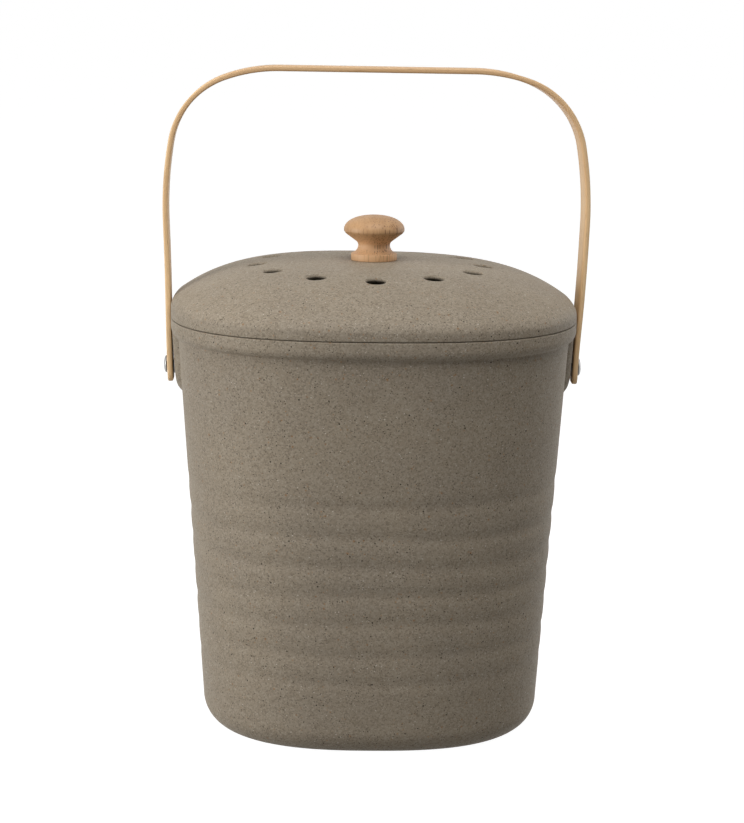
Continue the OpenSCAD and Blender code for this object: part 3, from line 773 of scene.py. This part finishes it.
def make_collar():
    """The collar moulded under the lid, with the ledges and stops that the filter cover turns into."""
    ledge, stop = radians(LEDGE_ANGLE), radians(STOP_ANGLE)
    edge = radians(0.02)
    angles = set(np.linspace(0, 2 * pi, 180, endpoint=False))
    for k in range(4):
        start = k * pi / 2 - ledge / 2
        for a in (start, start + stop, start + ledge):
            angles.update([a - edge, a + edge])
    angles = np.array(sorted(a % (2 * pi) for a in angles))
    past_start = (angles + ledge / 2) % (pi / 2)
    on_ledge, on_stop = past_start < ledge, past_start < stop
    ledge_radius = np.where(on_ledge, LEDGE_INNER, COLLAR_INNER)
    stop_radius = np.where(on_stop, LEDGE_INNER, COLLAR_INNER)
    inner, outer = np.full_like(angles, COLLAR_INNER), np.full_like(angles, COLLAR_OUTER)
    ledge_top, stop_top = LEDGE_LEVEL + LEDGE_HEIGHT, LEDGE_LEVEL + STOP_HEIGHT
    # The collar's top ends inside the lid's shell
    shell = lid_top(COLLAR_OUTER * np.cos(angles), COLLAR_OUTER * np.sin(angles)) - LID_WALL / 2
    rows = [
        (outer, LEDGE_LEVEL), (outer, shell), (inner, shell), (inner, stop_top), (stop_radius, stop_top),
        (stop_radius, ledge_top), (ledge_radius, ledge_top), (ledge_radius, LEDGE_LEVEL),
    ]
    points, faces = [], []
    for k, (radius, level) in enumerate(rows):
        ring = np.column_stack([radius * np.cos(angles), radius * np.sin(angles), level + 0 * angles])
        points += ring.tolist()
        faces += ring_faces(k * len(angles), (k + 1) % len(rows) * len(angles), len(angles))
    piece = new_piece("lid_collar", points, faces, "lid", COMPOSITE)
    piece.data.polygons.foreach_set("use_smooth", [False] * len(faces))
    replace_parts(piece, "lid")


make_lid()
make_collar()


# Knob

KNOB_HEIGHT = 22.3
KNOB_CAP_LEVEL = 15.3
KNOB_NECK_LEVEL = 7.4
KNOB_NECK = 7.9
KNOB_FOOT = 11.4
KNOB_FOOT_HEIGHT = 3.5
KNOB_HALF = 15.0
# The cap's underside is a cone: its angle, and the coves below and above the neck
KNOB_CONE = 39
LOWER_COVE = 4.0
UPPER_COVE = 2.5


def make_knob():
    lip_level = KNOB_CAP_LEVEL - 1.9
    profile = [(0, 0)]
    profile += arc((KNOB_FOOT - 0.4, 0.4), 0.4, -90, 0, 3)
    profile += arc((KNOB_FOOT - 0.45, KNOB_FOOT_HEIGHT - 0.45), 0.45, 0, 90, 4)
    profile += arc((KNOB_NECK + LOWER_COVE, KNOB_NECK_LEVEL), LOWER_COVE, 244, 180, 14)
    profile += arc((KNOB_NECK + UPPER_COVE, KNOB_NECK_LEVEL), UPPER_COVE, 176, 90 + KNOB_CONE, 8)
    cap = [
        (KNOB_HALF * cos(a) ** 0.9, KNOB_CAP_LEVEL + (KNOB_HEIGHT - KNOB_CAP_LEVEL) * sin(a))
        for a in np.radians(np.linspace(0, 88, 30))
    ]
    edge = [profile[-1], (KNOB_HALF - 1.0, lip_level - 0.2), (KNOB_HALF, lip_level + 1.0), cap[0]]
    profile += softened(edge, [1.6, 1.4], 6)[1:-1] + cap + [(0, KNOB_HEIGHT)]
    points, faces = lathe(profile, (0, 0, SEAT_LEVEL), (0, 0, 1), 128)
    piece = new_piece("turned_knob", points, faces, "lid", KNOB_BAMBOO)
    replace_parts(piece, "knob")


make_knob()


# Handle

STRIP_THICKNESS = 2.6
STRIP_HALF = 7.5
STRIP_EDGE = 0.8
# Hand-bent: the bar sits a little to the right and drops there, and comes to that over this height
BAR_SHIFT = 0.8
BAR_DROP = 0.006
BAR_BLEND = 60.0
# The right leg turns slightly: over this height above the pivot, and out from this place over this width
LEG_TWIST = radians(4.5)
TWIST_HEIGHT = 35.0
TWIST_START = 55.0
TWIST_WIDTH = 40.0
LEAN = radians(2.2)
TAIL = 8.2
TAIL_ROUND = 4.5
HANDLE_RISE = 147.9
RIM_CLEARANCE = 0.35
EASY_BEND = (190.0, radians(12))
CORNER_BEND = (42.0, radians(60))
CROWN_BEND = (80.0, pi / 2 + LEAN - radians(72))
STRIP_INNER = RIM_HALF + RIM_CLEARANCE - (RIM_FULL_LEVEL - PIVOT_LEVEL) * tan(LEAN)
STRIP_OUTER = STRIP_INNER + STRIP_THICKNESS / cos(LEAN)


def strip_line():
    """Outer face of the strip over the right half: x, height above the pivot and heading from vertical."""
    bends = [EASY_BEND, CORNER_BEND, CROWN_BEND]
    rise, heading = 0.0, -LEAN
    for radius, angle in bends:
        rise += radius * (sin(heading + angle) - sin(heading))
        heading += angle
    leg = HANDLE_RISE - rise
    x, z, heading = STRIP_OUTER - TAIL * tan(LEAN), -TAIL, -LEAN
    line = []
    straight = (leg + TAIL) / cos(LEAN)
    fine = [0, 0.06, 0.18, 0.4, 0.8, 1.3, 2.0, 2.8, 3.7, 4.5]
    # Close together over the rounded end, then evenly up the leg
    for d in fine + list(np.linspace(6, straight, 36))[:-1]:
        line.append((x + d * sin(LEAN), z + d * cos(LEAN), heading))
    x, z = x + straight * sin(LEAN), z + straight * cos(LEAN)
    for (radius, angle), steps in zip(bends, (16, 40, 16)):
        for h in np.linspace(heading, heading + angle, steps + 1)[:-1]:
            line.append((x - radius * (cos(heading) - cos(h)), z + radius * (sin(h) - sin(heading)), h))
        x -= radius * (cos(heading) - cos(heading + angle))
        z += radius * (sin(heading + angle) - sin(heading))
        heading += angle
    for share in np.linspace(0, 1, 16):
        line.append((x * (1 - share), HANDLE_RISE, pi / 2))
    return line


def strip_section(end):
    """Points round the strip's section, as (across, deep), at a distance from the strip's nearer end."""
    half, edge, middle = STRIP_HALF, STRIP_EDGE, STRIP_THICKNESS / 2
    if end < TAIL_ROUND:
        half = STRIP_HALF - TAIL_ROUND + sqrt(TAIL_ROUND ** 2 - (TAIL_ROUND - end) ** 2)
    thin = edge - sqrt(edge ** 2 - (edge - end) ** 2) if end < edge else 0.0
    corners = []
    for side, face, start in ((1, 1, 0), (-1, 1, 90), (-1, -1, 180), (1, -1, 270)):
        for a in np.radians(start + 30 * np.arange(4)):
            across = side * (half - edge) + edge * cos(a)
            deep = face * (middle - edge) + edge * sin(a)
            corners.append((across, deep * (1 - thin / middle)))
    return corners


def strip_ring(section, x, z, heading):
    """A section set on the strip's line, with what the hand bending adds."""
    rise = smooth(z / BAR_BLEND)
    shift = BAR_SHIFT * rise
    drop = -BAR_DROP * x * rise
    twist = LEG_TWIST * smooth(z / TWIST_HEIGHT) * smooth((z > 0) * (x - TWIST_START) / TWIST_WIDTH)
    ring = []
    for across, deep in section:
        y = across * cos(twist) - deep * sin(twist)
        depth = STRIP_THICKNESS / 2 - (across * sin(twist) + deep * cos(twist))
        height = PIVOT_LEVEL + z - depth * sin(heading) + drop
        ring.append((x - depth * cos(heading) + shift, -y, height))
    return ring


def make_handle():
    right = strip_line()
    # The left half is the right one mirrored, so that the line runs over the top from right to left
    line = right + [(-x, z, pi - h) for x, z, h in reversed(right[:-1])]
    length = [0.0]
    for a, b in zip(line, line[1:]):
        length.append(length[-1] + hypot(b[0] - a[0], b[1] - a[1]))
    total = length[-1]
    rings, grain = [], []
    for (x, z, heading), along in zip(line, length):
        section = strip_section(min(along, total - along))
        rings.append(strip_ring(section, x, z, heading))
        grain += [(along * MM, -across * MM, deep * MM) for across, deep in section]
    grain += [(0, 0, 0), (total * MM, 0, 0)]
    first, last = (tuple(np.mean(ring, axis=0)) for ring in (rings[0], rings[-1]))
    points, faces = loft(rings, first, last)
    piece = new_piece("bent_strip", points, faces, "handle", STRIP_BAMBOO)
    attribute = piece.data.attributes.new("grain", "FLOAT_VECTOR", "POINT")
    attribute.data.foreach_set("vector", np.array(grain, "f").ravel())
    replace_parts(piece, "carry_handle")


make_handle()


# Pivots

PIN_RADIUS = 1.9
PIN_PLAY = 0.06
HEAD_RADIUS = 4.3
HEAD_HEIGHT = 1.5
SPACER_RADIUS = 4.5
INNER_WASHER_RADIUS = 5.0
NUT_WIDTH = 7.0
NUT_HEIGHT = 3.2
NUT_DOME = 2.0
NUT_CHAMFER = 0.62
PIVOT_STEPS = 72
NUT_STEPS = 96


def rounded_washer(outer, bore, thickness):
    """Closed outline of a washer, rounded at its outer edges and broken at its bore."""
    edge = min(0.18, thickness / 4)
    profile = arc((outer - edge, edge), edge, -90, 0, 3)
    profile += arc((outer - edge, thickness - edge), edge, 0, 90, 3)
    return profile + [(bore + 0.1, thickness), (bore, thickness - 0.1), (bore, 0.1), (bore + 0.1, 0)]


def domed_screw(shank_length):
    """Profile of a pivot screw from the end of its shank, at minus its length, to the top of its head."""
    end = -shank_length
    shank = [(0, end), (PIN_RADIUS - 0.3, end), (PIN_RADIUS, 0.3 + end), (PIN_RADIUS, 0)]
    rim = [(HEAD_RADIUS - 0.12, 0), (HEAD_RADIUS, 0.12), (HEAD_RADIUS, 0.3)]
    dome = [
        (HEAD_RADIUS * cos(a), 0.3 + (HEAD_HEIGHT - 0.3) * sin(a))
        for a in np.radians(np.linspace(8, 84, 12))
    ]
    return shank + rim + dome + [(0, HEAD_HEIGHT)]


def cap_nut_rings(angles):
    """Rings of a chamfered hexagon and its dome, as radius by angle and height."""
    hexagon = NUT_WIDTH / 2 / np.cos((angles + pi / 6) % (pi / 3) - pi / 6)
    corner = NUT_WIDTH / 2 / cos(pi / 6)
    edge = (0.0, 0.12, 0.3)
    heights = list(edge) + [0.55, 1.6, NUT_HEIGHT - 0.6] + [NUT_HEIGHT - h for h in reversed(edge)]
    rings = []
    for height in heights:
        end = min(height, NUT_HEIGHT - height)
        rings.append((np.minimum(hexagon, corner - NUT_CHAMFER + end * 1.15), height))
    dome = NUT_WIDTH / 2 - 0.25
    for a in np.radians(np.linspace(0, 82, 12)):
        height = NUT_HEIGHT + 0.15 + (NUT_DOME - 0.15) * sin(a)
        rings.append((np.full(len(angles), dome * cos(a)), height))
    return rings


def pivot_reach(node):
    """The nearest and farthest distance of a pivot's node from the bin's middle."""
    ends = [abs(corner.x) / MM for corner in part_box(node)]
    return min(ends), max(ends)


def make_pivot_screw(side, name):
    pin_end, head_top = pivot_reach(name + "_pivot_screw")
    head_seat = head_top - HEAD_HEIGHT
    profile = domed_screw(head_seat - pin_end)
    points, faces = lathe(profile, (side * head_seat, 0, PIVOT_LEVEL), (side, 0, 0), PIVOT_STEPS)
    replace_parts(new_piece(name + "_screw", points, faces, "bin", STEEL), name + "_pivot_screw")


def make_pivot_ring(side, node, radius):
    low, high = pivot_reach(node)
    outline = rounded_washer(radius, PIN_RADIUS + 2 * PIN_PLAY, high - low)
    points, faces = tube(outline, (side * low, 0, PIVOT_LEVEL), (side, 0, 0), PIVOT_STEPS)
    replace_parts(new_piece(node + "_turned", points, faces, "bin", STEEL), node)


def make_cap_nut(side, name):
    angles = 2 * pi * np.arange(NUT_STEPS) / NUT_STEPS
    seat = pivot_reach(name + "_cap_nut")[1]
    rings = []
    for radius, height in cap_nut_rings(angles):
        # Counter-clockwise as seen from the dome's end, which points into the bin
        y, z = radius * np.cos(angles), radius * np.sin(angles)
        rings.append([(side * (seat - height), -side * a, PIVOT_LEVEL + b) for a, b in zip(y, z)])
    first = (side * seat, 0, PIVOT_LEVEL)
    last = (side * (seat - NUT_HEIGHT - NUT_DOME), 0, PIVOT_LEVEL)
    points, faces = loft(rings, first, last)
    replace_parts(new_piece(name + "_nut", points, faces, "bin", STEEL), name + "_cap_nut")


def make_pivot(side, name):
    make_pivot_screw(side, name)
    make_pivot_ring(side, name + "_spacer", SPACER_RADIUS)
    make_pivot_ring(side, name + "_inner_washer", INNER_WASHER_RADIUS)
    make_cap_nut(side, name)


make_pivot(-1, "left")
make_pivot(1, "right")


def dress(node, material):
    """Gives a CAD node that keeps its shape a better material and softer edges."""
    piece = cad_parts[node]
    piece.data.materials.clear()
    piece.data.materials.append(material)
    bevel = piece.modifiers.new("soft_edges", "BEVEL")
    bevel.width = 0.25 * MM
    bevel.segments = 2
    bevel.limit_method = "ANGLE"
    bevel.angle_limit = radians(35)
    bevel.harden_normals = True


# Filter, its cover, and the knob's screw and washer

dress("filter_cover", DARK_PLASTIC)
dress("knob_washer", STEEL)
dress("knob_screw", STEEL)


FELT_EDGE = 2.4
# Share of the felt's height by which its faces rise and fall
FELT_UNEVEN = 0.02


def make_felt():
    """Needled felt disc: crowned edge, and faces that rise and fall a little with the matted fibres."""
    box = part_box("charcoal_filter")
    half, low, high = box[1].x / MM, box[0].z / MM, box[1].z / MM
    middle, thick = (low + high) / 2, (high - low) / 2
    steps = 160
    angles = 2 * pi * np.arange(steps) / steps
    radii = [4, 9, 14, 19, 24, 29, 34, 39, 44, 49, 53, 57, 60, 62.5]
    turns = np.radians(np.linspace(8, 80, 8))
    edge = [(half - FELT_EDGE + (FELT_EDGE - 0.1) * sin(a), thick * cos(a) ** 0.8) for a in turns]
    upper = [(r, thick) for r in radii] + edge
    profile = [(r, -h) for r, h in upper] + [(half - 0.1, 0)] + [(r, h) for r, h in reversed(upper)]
    rings = []
    for radius, height in profile:
        x, y = radius * np.cos(angles), radius * np.sin(angles)
        wave = np.sin(0.9 * x + 1.3 * np.sin(0.35 * y)) * np.sin(0.8 * y + 1.1 * np.sin(0.4 * x))
        z = middle + height * (0.97 - FELT_UNEVEN * (1 + wave))
        rings.append(np.column_stack([x, y, z]).tolist())
    points, faces = loft(rings, (0, 0, middle - thick * 0.95), (0, 0, middle + thick * 0.95))
    piece = new_piece("charcoal_felt_disc", points, faces, "filter", FELT)
    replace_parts(piece, "charcoal_filter")


make_felt()


# Camera, lights and background

def make_camera():
    sin_roll, cos_roll = sin(CAMERA_ROLL), cos(CAMERA_ROLL)
    dx, dy = AIM_PIXEL[0] - IMAGE_SIZE[0] / 2, AIM_PIXEL[1] - IMAGE_SIZE[1] / 2
    across, down = dx * cos_roll + dy * sin_roll, dy * cos_roll - dx * sin_roll
    tilt = CAMERA_ELEVATION - atan2(down, FOCAL_PIXELS)
    pan = -atan2(across, hypot(FOCAL_PIXELS, down))
    ahead = Vector((sin(pan) * cos(tilt), cos(pan) * cos(tilt), -sin(tilt)))
    right = Vector((cos(pan), -sin(pan), 0))
    up = right.cross(ahead)
    rolled_right = right * cos_roll + up * sin_roll
    rolled_up = up * cos_roll - right * sin_roll
    turn = Matrix.Rotation(-CAMERA_YAW, 4, "Z")
    place = Vector((0, -CAMERA_DISTANCE * cos(CAMERA_ELEVATION), CAMERA_DISTANCE * sin(CAMERA_ELEVATION)))
    axes = Matrix((rolled_right, rolled_up, -ahead)).transposed().to_4x4()
    camera = bpy.data.objects.new("camera", bpy.data.cameras.new("camera"))
    bpy.context.scene.collection.objects.link(camera)
    camera.matrix_world = turn @ Matrix.Translation(place + CAMERA_AIM) @ axes
    camera.data.sensor_width = SENSOR
    camera.data.lens = FOCAL_PIXELS * SENSOR / max(IMAGE_SIZE)
    camera.data.clip_end = 200
    bpy.context.scene.camera = camera


LIGHT_AIM = (0, 0, 0.15)


def softbox(name, place, size, level):
    """A soft lamp. level is the share of full light that it gives to a face turned to it at the aim."""
    data = bpy.data.lights.new(name, "AREA")
    data.shape = "RECTANGLE"
    data.size, data.size_y = size
    way = Vector(LIGHT_AIM) - Vector(place)
    data.energy = level * pi ** 2 * way.length_squared
    lamp = bpy.data.objects.new(name, data)
    bpy.context.scene.collection.objects.link(lamp)
    lamp.location = place
    lamp.rotation_mode = "QUATERNION"
    lamp.rotation_quaternion = way.to_track_quat("-Z", "Y")


def seen_directly(n):
    """1 for rays that show the background itself: from the camera, in gloss and through glass."""
    path = n.add("ShaderNodeLightPath")
    seen = n.math("MAXIMUM", path.outputs["Is Camera Ray"], path.outputs["Is Glossy Ray"])
    return n.math("MAXIMUM", seen, path.outputs["Is Transmission Ray"])


FLOOR_WHITE = 0.32
AMBIENT = 0.05
FLOOR_GLOW = 1 - FLOOR_WHITE * AMBIENT


def make_floor():
    half = 60.0
    mesh = bpy.data.meshes.new("floor")
    corners = [(-half, -half, 0), (half, -half, 0), (half, half, 0), (-half, half, 0)]
    mesh.from_pydata(corners, [], [(0, 1, 2, 3)])
    floor = bpy.data.objects.new("floor", mesh)
    bpy.context.scene.collection.objects.link(floor)
    n = Material("floor_white")
    n.tree.nodes.remove(n.shader)
    matt = n.add("ShaderNodeBsdfDiffuse", {"Color": (FLOOR_WHITE, FLOOR_WHITE, FLOOR_WHITE, 1)})
    glow = n.add("ShaderNodeEmission", {"Strength": n.math("MULTIPLY", seen_directly(n), FLOOR_GLOW)})
    both = n.add("ShaderNodeAddShader", {0: matt.outputs[0], 1: glow.outputs[0]})
    clear = n.add("ShaderNodeBsdfTransparent")
    behind = n.add("ShaderNodeNewGeometry").outputs["Backfacing"]
    final = n.add("ShaderNodeMixShader", {0: behind, 1: both.outputs[0], 2: clear.outputs[0]})
    n.put(n.output.inputs["Surface"], final.outputs[0])
    mesh.materials.append(n.material)


def make_world():
    world = bpy.data.worlds.new("studio")
    world.use_nodes = True
    bpy.context.scene.world = world
    n = Nodes(world.node_tree)
    background = n.tree.nodes["Background"]
    background.inputs["Color"].default_value = (1, 1, 1, 1)
    n.put(background.inputs["Strength"], n.ramp(seen_directly(n), 0.0, 1.0, AMBIENT, 1.0))


make_camera()
make_floor()
make_world()
softbox("top_light", (0.03, -0.52, 1.38), (1.2, 1.4), 0.94)
softbox("left_light", (-1.23, -0.3, 0.25), (0.5, 0.8), 0.7)
softbox("front_light", (-0.5, -1.3, 0.35), (0.6, 0.6), 0.06)
softbox("right_rim_light", (1.05, 0.65, 0.4), (0.4, 0.9), 0.2)

bpy.context.scene.view_settings.view_transform = "Standard"
